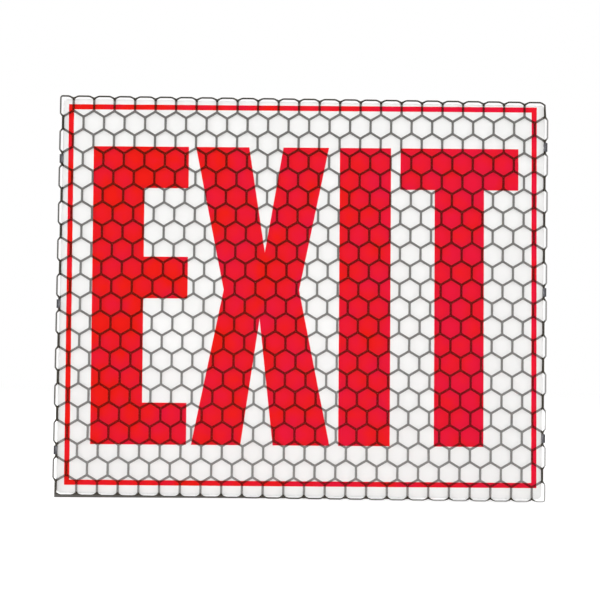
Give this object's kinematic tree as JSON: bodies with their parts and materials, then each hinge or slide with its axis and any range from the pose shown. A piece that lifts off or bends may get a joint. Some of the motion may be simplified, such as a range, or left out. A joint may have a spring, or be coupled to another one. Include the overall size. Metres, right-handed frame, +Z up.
{
  "type": "illuminated exit sign",
  "caption": "Wall-mounted lit exit sign: red legend on an opal panel under a honeycomb guard, slim housing with light box, driver, battery and a push-to-test button.",
  "frame": {"origin": "middle of the cable hole, in the plane of the wall", "axes": "+X to the right along the wall as the reader sees it, +Y into the wall, +Z up; the face looks along -Y"},
  "size_m": [0.2504, 0.0465, 0.2053],
  "materials": {
    "housing_plastic": "moulded white plastic with a fine texture",
    "opal_panel": "opal white sheet with a soft gloss",
    "red_film": "translucent red film",
    "guard_plastic": "smoke-tinted moulded plastic, see-through on the face and darker at the rim",
    "clip_steel": "black spring steel",
    "foam_seal": "closed-cell foam",
    "reflector_white": "matt white sheet",
    "lamp_board": "white-masked circuit board",
    "lamp_chip": "phosphor-filled lamp package",
    "zinc_steel": "zinc-plated sheet steel",
    "screw_steel": "zinc-plated screws",
    "black_plastic": "black moulded plastic",
    "circuit_board": "green-masked circuit board",
    "nylon": "natural nylon",
    "ferrite": "sintered ferrite",
    "winding_tape": "yellow winding tape",
    "capacitor_sleeve": "dark sleeve",
    "terminal_plastic": "green moulded plastic",
    "battery_wrap": "heat-shrink wrap",
    "button_red": "red moulded plastic",
    "button_chrome": "bright plated",
    "lamp_green": "clear green resin",
    "lead_red": "red insulation",
    "lead_grey": "grey insulation"
  },
  "bodies": {
    "sign": {"housing": "housing_plastic", "entry_plug": "housing_plastic", "legend_panel": "opal_panel", "letter_e": "red_film", "letter_x": "red_film", "letter_i": "red_film", "letter_t": "red_film", "red_border": "red_film", "hex_guard": "guard_plastic", "guard_clips": "clip_steel", "panel_gasket": "foam_seal", "reflector_tray": "reflector_white", "led_board_lower": "lamp_board", "led_board_middle": "lamp_board", "led_board_upper": "lamp_board", "led_chips": "lamp_chip", "back_plate": "zinc_steel", "battery_strap": "zinc_steel", "tray_screws": "screw_steel", "led_board_screws": "screw_steel", "side_screws": "screw_steel", "board_screws": "screw_steel", "strap_screws": "screw_steel", "terminal_screws": "screw_steel", "button_spring": "screw_steel", "cable_bush": "black_plastic", "switch_body": "black_plastic", "lamp_clip": "black_plastic", "control_chip": "black_plastic", "driver_board": "circuit_board", "board_standoffs": "nylon", "lead_sockets": "nylon", "led_socket": "nylon", "transformer_core": "ferrite", "transformer_winding": "winding_tape", "capacitors": "capacitor_sleeve", "terminal_block": "terminal_plastic", "battery_pack": "battery_wrap", "button_bush": "button_chrome", "button_nut": "button_chrome", "charge_lamp": "lamp_green", "battery_lead": "lead_red", "switch_lead": "lead_grey", "led_lead": "lead_grey"},
    "button": {"test_button": "button_red"}
  },
  "joints": [
    {"name": "test_press", "type": "slide", "parent": "sign", "child": "button", "axis": [0, 0, 1], "range_m": [0, 0.0012], "stiffness_N_per_m": 500, "springref_m": -0.003, "deforming": ["button_spring"]}
  ]
}
